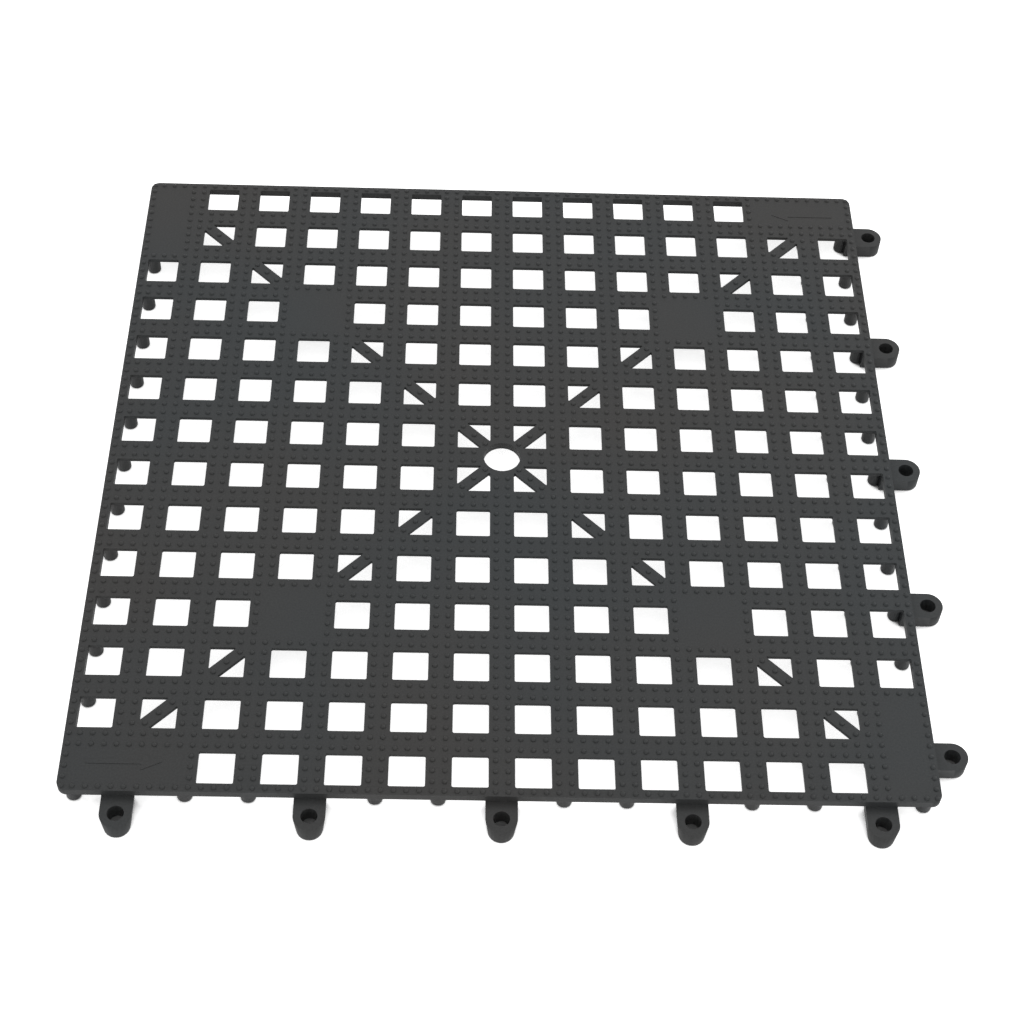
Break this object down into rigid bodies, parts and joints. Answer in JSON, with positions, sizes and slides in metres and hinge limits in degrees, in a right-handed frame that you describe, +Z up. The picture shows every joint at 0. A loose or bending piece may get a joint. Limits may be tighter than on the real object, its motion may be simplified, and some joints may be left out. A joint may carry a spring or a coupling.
{
  "type": "modular floor mat tile",
  "caption": "Square open-grid floor mat tile in one moulded piece, on short round legs, with socket tabs on two edges that take the next tile's edge legs.",
  "frame": {"origin": "on the axis of the round centre hole, at the walking surface", "axes": "+Z up out of the walking surface; the socket tabs are on the +X and -Y edges"},
  "size_m": [0.3182, 0.3182, 0.0112],
  "materials": {
    "moulded_plastic": "matte, finely textured"
  },
  "bodies": {
    "root": {"floor_mat_tile": "moulded_plastic"}
  },
  "joints": []
}
